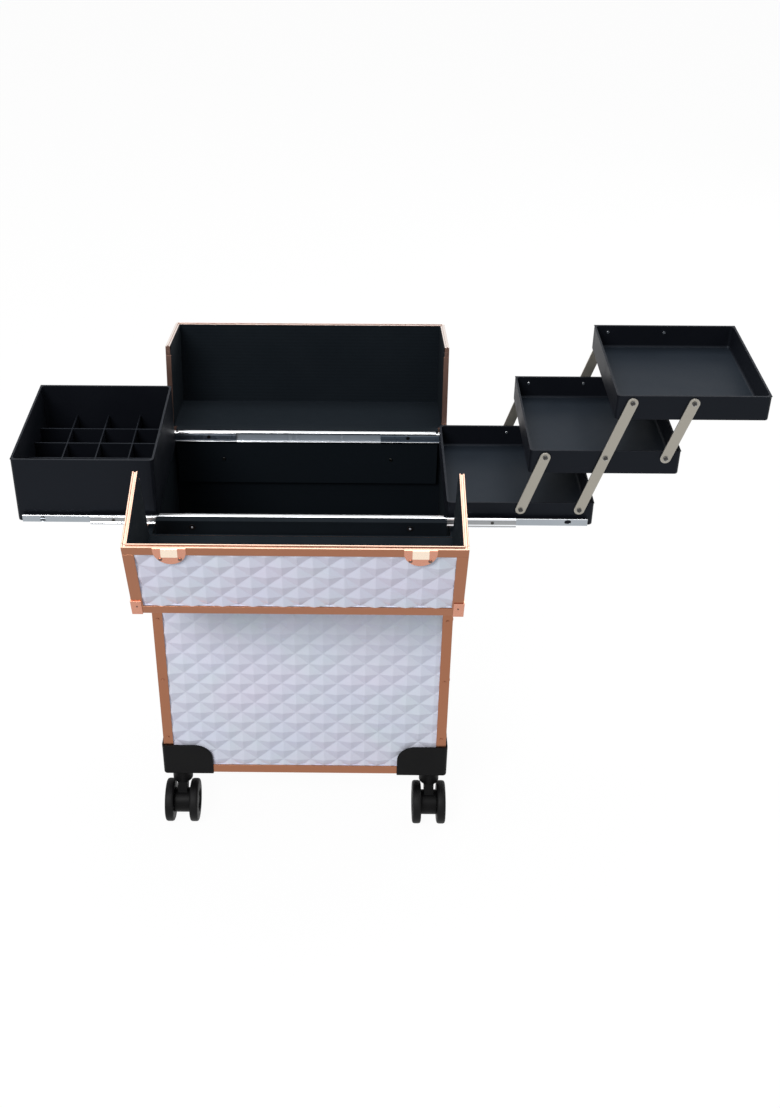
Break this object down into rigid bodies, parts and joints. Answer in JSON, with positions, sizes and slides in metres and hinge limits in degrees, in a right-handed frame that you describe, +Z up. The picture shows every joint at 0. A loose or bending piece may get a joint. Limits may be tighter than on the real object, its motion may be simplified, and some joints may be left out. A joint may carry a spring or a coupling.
{
  "type": "rolling makeup case",
  "caption": "Hard rolling makeup case on swivel casters, with split lids that open front and back, a deep divided tray and a fold-out stack of trays on slides.",
  "frame": {"origin": "on the floor under the middle of the lower body", "axes": "+X to the right seen from the front, +Y to the back, +Z up"},
  "size_m": [0.8265, 0.4886, 0.6115],
  "materials": {
    "rose_gold": "satin anodised",
    "pearl_panel": "glossy embossed",
    "black_lining": "matte",
    "tray_plastic": "fine grained",
    "slide_zinc": "bright zinc",
    "arm_nickel": "satin nickel",
    "black_plastic": "moulded",
    "wheel_black": "satin",
    "handle_metal": "black lacquer"
  },
  "bodies": {
    "case": {"front_panel": "pearl_panel", "back_panel": "pearl_panel", "left_panel": "pearl_panel", "right_panel": "pearl_panel", "bottom_panel": "pearl_panel", "case_lining": "black_lining", "base_rails": "rose_gold", "corner_posts": "rose_gold", "top_rails": "rose_gold", "frame_rivets": "rose_gold", "corner_guards": "black_plastic", "caster_plates": "black_plastic", "slide_boards": "black_lining", "slide_channels": "slide_zinc", "slide_screws": "slide_zinc", "body_hinge_leaves": "rose_gold", "hinge_pins": "rose_gold", "handle_tubes": "handle_metal", "handle_brackets": "black_plastic"},
    "pull_handle": {"handle_rods": "slide_zinc", "handle_grip": "black_plastic"},
    "release_button": {"handle_button": "slide_zinc"},
    "front_lid": {"front_lid_panels": "pearl_panel", "front_lid_lining": "black_lining", "front_lid_frame": "rose_gold", "front_lid_rim": "rose_gold", "front_lid_corners": "rose_gold", "front_lid_leaves": "rose_gold", "latch_keepers": "rose_gold"},
    "back_lid": {"back_lid_panels": "pearl_panel", "back_lid_lining": "black_lining", "back_lid_frame": "rose_gold", "back_lid_rim": "rose_gold", "back_lid_corners": "rose_gold", "back_lid_leaves": "rose_gold", "latch_bases": "rose_gold"},
    "hasp_left": {"left_hasp": "rose_gold"},
    "hasp_right": {"right_hasp": "rose_gold"},
    "left_tray_set": {"left_tray": "tray_plastic", "left_tray_dividers": "tray_plastic", "left_tray_slides": "slide_zinc"},
    "left_middles": {"left_slide_middles": "slide_zinc"},
    "right_tray_set": {"bottom_tray": "tray_plastic", "bottom_tray_slides": "slide_zinc"},
    "right_middles": {"right_slide_middles": "slide_zinc"},
    "long_arm_pair": {"long_arms": "arm_nickel"},
    "lower_arm_pair": {"lower_arms": "arm_nickel"},
    "upper_arm_pair": {"upper_arms": "arm_nickel"},
    "middle_tier": {"middle_tray": "tray_plastic"},
    "top_tier": {"top_tray": "tray_plastic"},
    "front_left_caster": {"front_left_fork": "black_plastic"},
    "front_left_wheel_pair": {"front_left_wheels": "wheel_black"},
    "front_right_caster": {"front_right_fork": "black_plastic"},
    "front_right_wheel_pair": {"front_right_wheels": "wheel_black"},
    "back_left_caster": {"back_left_fork": "black_plastic"},
    "back_left_wheel_pair": {"back_left_wheels": "wheel_black"},
    "back_right_caster": {"back_right_fork": "black_plastic"},
    "back_right_wheel_pair": {"back_right_wheels": "wheel_black"}
  },
  "joints": [
    {"name": "front_lid_hinge", "type": "hinge", "parent": "case", "child": "front_lid", "pos_m": [0, -0.1153, 0.441], "axis": [-1, 0, 0], "range_deg": [0, 33]},
    {"name": "back_lid_hinge", "type": "hinge", "parent": "case", "child": "back_lid", "pos_m": [0, 0.1153, 0.441], "axis": [1, 0, 0], "range_deg": [0, 26]},
    {"name": "left_hasp_swing", "type": "hinge", "parent": "back_lid", "child": "hasp_left", "pos_m": [-0.1265, 0.23809, 0.52348], "axis": [1, 0, 0], "range_deg": [0, 165]},
    {"name": "right_hasp_swing", "type": "hinge", "parent": "back_lid", "child": "hasp_right", "pos_m": [0.1265, 0.23809, 0.52348], "axis": [1, 0, 0], "range_deg": [0, 165]},
    {"name": "left_tray_slide", "type": "slide", "parent": "case", "child": "left_tray_set", "axis": [1, 0, 0], "range_m": [0, 0.1565]},
    {"name": "left_middle_slide", "type": "slide", "parent": "case", "child": "left_middles", "axis": [1, 0, 0], "range_m": [0, 0.07825]},
    {"name": "right_tray_slide", "type": "slide", "parent": "case", "child": "right_tray_set", "axis": [-1, 0, 0], "range_m": [0, 0.163]},
    {"name": "right_middle_slide", "type": "slide", "parent": "case", "child": "right_middles", "axis": [-1, 0, 0], "range_m": [0, 0.0815]},
    {"name": "tray_fold", "type": "hinge", "parent": "right_tray_set", "child": "long_arm_pair", "pos_m": [0.31177, 0, 0.4655], "axis": [0, -1, 0], "range_deg": [0, 82.9]},
    {"name": "lower_arm_fold", "type": "hinge", "parent": "right_tray_set", "child": "lower_arm_pair", "pos_m": [0.246, 0, 0.4655], "axis": [0, -1, 0], "range_deg": [0, 82.9]},
    {"name": "middle_tray_level", "type": "hinge", "parent": "long_arm_pair", "child": "middle_tier", "pos_m": [0.334, 0, 0.5345], "axis": [0, -1, 0], "range_deg": [-82.9, 0]},
    {"name": "top_tray_level", "type": "hinge", "parent": "long_arm_pair", "child": "top_tier", "pos_m": [0.35623, 0, 0.6035], "axis": [0, -1, 0], "range_deg": [-82.9, 0]},
    {"name": "upper_arm_fold", "type": "hinge", "parent": "middle_tier", "child": "upper_arm_pair", "pos_m": [0.39977, 0, 0.5345], "axis": [0, -1, 0], "range_deg": [0, 82.9]},
    {"name": "handle_pull", "type": "slide", "parent": "case", "child": "pull_handle", "axis": [0, 0, 1], "range_m": [0, 0.03]},
    {"name": "button_press", "type": "slide", "parent": "pull_handle", "child": "release_button", "axis": [0, 0, -1], "range_m": [0, 0.002], "stiffness_N_per_m": 400},
    {"name": "front_left_swivel", "type": "hinge", "parent": "case", "child": "front_left_caster", "pos_m": [-0.157, -0.094, 0.027], "axis": [0, 0, 1], "continuous": true},
    {"name": "front_left_roll", "type": "hinge", "parent": "front_left_caster", "child": "front_left_wheel_pair", "pos_m": [-0.157, -0.1075, 0.027], "axis": [1, 0, 0], "continuous": true},
    {"name": "front_right_swivel", "type": "hinge", "parent": "case", "child": "front_right_caster", "pos_m": [0.157, -0.094, 0.027], "axis": [0, 0, 1], "continuous": true},
    {"name": "front_right_roll", "type": "hinge", "parent": "front_right_caster", "child": "front_right_wheel_pair", "pos_m": [0.157, -0.1075, 0.027], "axis": [1, 0, 0], "continuous": true},
    {"name": "back_left_swivel", "type": "hinge", "parent": "case", "child": "back_left_caster", "pos_m": [-0.157, 0.094, 0.027], "axis": [0, 0, 1], "continuous": true},
    {"name": "back_left_roll", "type": "hinge", "parent": "back_left_caster", "child": "back_left_wheel_pair", "pos_m": [-0.157, 0.0805, 0.027], "axis": [1, 0, 0], "continuous": true},
    {"name": "back_right_swivel", "type": "hinge", "parent": "case", "child": "back_right_caster", "pos_m": [0.157, 0.094, 0.027], "axis": [0, 0, 1], "continuous": true},
    {"name": "back_right_roll", "type": "hinge", "parent": "back_right_caster", "child": "back_right_wheel_pair", "pos_m": [0.157, 0.0805, 0.027], "axis": [1, 0, 0], "continuous": true}
  ],
  "couplings": [
    {"joint": "left_middle_slide", "follows": "left_tray_slide", "ratio": 0.5},
    {"joint": "right_middle_slide", "follows": "right_tray_slide", "ratio": 0.5},
    {"joint": "lower_arm_fold", "follows": "tray_fold", "ratio": 1},
    {"joint": "middle_tray_level", "follows": "tray_fold", "ratio": -1},
    {"joint": "top_tray_level", "follows": "tray_fold", "ratio": -1},
    {"joint": "upper_arm_fold", "follows": "tray_fold", "ratio": 1}
  ]
}
